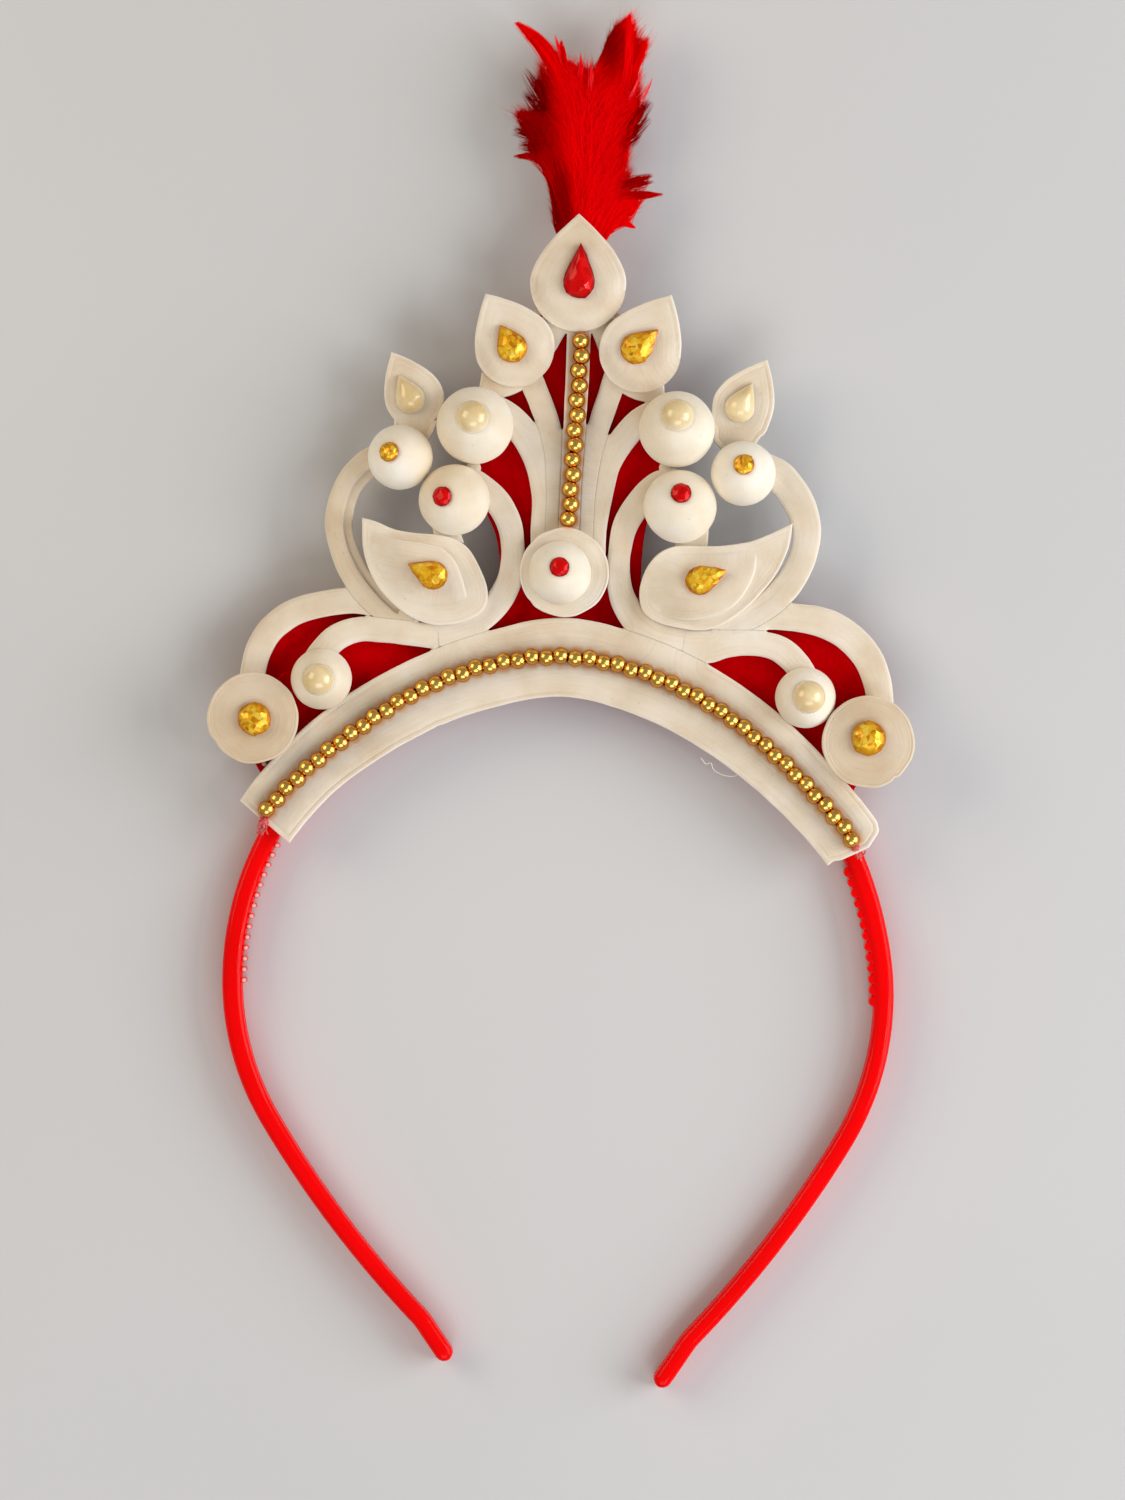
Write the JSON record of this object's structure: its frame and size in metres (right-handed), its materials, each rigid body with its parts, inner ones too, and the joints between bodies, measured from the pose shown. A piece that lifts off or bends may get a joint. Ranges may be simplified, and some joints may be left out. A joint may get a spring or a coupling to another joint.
{
  "type": "mukut crown on a comb headband",
  "caption": "Pierced pith crown of scrolls, leaves and paisleys on a comb headband, with bead strings, stones, pearls and a plume.",
  "frame": {"origin": "top of the headband's inner side, on its back face, where it meets the head", "axes": "+Y from the band's tips to the plume, +Z out of the crown's face, +X to the right seen from the front"},
  "size_m": [0.1412, 0.2765, 0.0242],
  "materials": {
    "pith": "matte cut pith with fine fibres",
    "band_plastic": "glossy moulded",
    "backing_paper": "matte, finely fibrous",
    "amber_stone": "faceted, foil-backed",
    "red_stone": "faceted, foil-backed",
    "pearl": "pearly gloss",
    "gold_bead": "polished gold coating",
    "thread": "twisted thread",
    "plume": "downy dyed barbs"
  },
  "bodies": {
    "root": {"headband": "band_plastic", "backing": "backing_paper", "base_arch": "pith", "centre_post": "pith", "stem_left": "pith", "stem_right": "pith", "branch_left": "pith", "branch_right": "pith", "loop_inner_left": "pith", "loop_inner_right": "pith", "loop_outer_left": "pith", "loop_outer_right": "pith", "scroll_outer_left": "pith", "scroll_outer_right": "pith", "scroll_inner_left": "pith", "scroll_inner_right": "pith", "end_disc_left": "pith", "end_disc_right": "pith", "pearl_dome_left": "pith", "pearl_dome_right": "pith", "centre_disc": "pith", "centre_dome": "pith", "big_ball_left": "pith", "big_ball_right": "pith", "red_ball_left": "pith", "red_ball_right": "pith", "amber_ball_left": "pith", "amber_ball_right": "pith", "side_leaf_left": "pith", "side_leaf_right": "pith", "mid_leaf_left": "pith", "mid_leaf_right": "pith", "top_leaf": "pith", "paisley_base_left": "pith", "paisley_base_right": "pith", "paisley_top_left": "pith", "paisley_top_right": "pith", "end_stone_left": "amber_stone", "end_stone_right": "amber_stone", "dome_pearl_left": "pearl", "dome_pearl_right": "pearl", "centre_stone": "red_stone", "ball_pearl_left": "pearl", "ball_pearl_right": "pearl", "red_stone_left": "red_stone", "red_stone_right": "red_stone", "amber_stone_left": "amber_stone", "amber_stone_right": "amber_stone", "drop_pearl_left": "pearl", "drop_pearl_right": "pearl", "mid_drop_left": "amber_stone", "mid_drop_right": "amber_stone", "top_drop": "red_stone", "paisley_drop_left": "amber_stone", "paisley_drop_right": "amber_stone", "arch_beads": "gold_bead", "post_beads": "gold_bead", "arch_thread": "thread", "post_thread": "thread", "feather": "plume"}
  },
  "joints": []
}
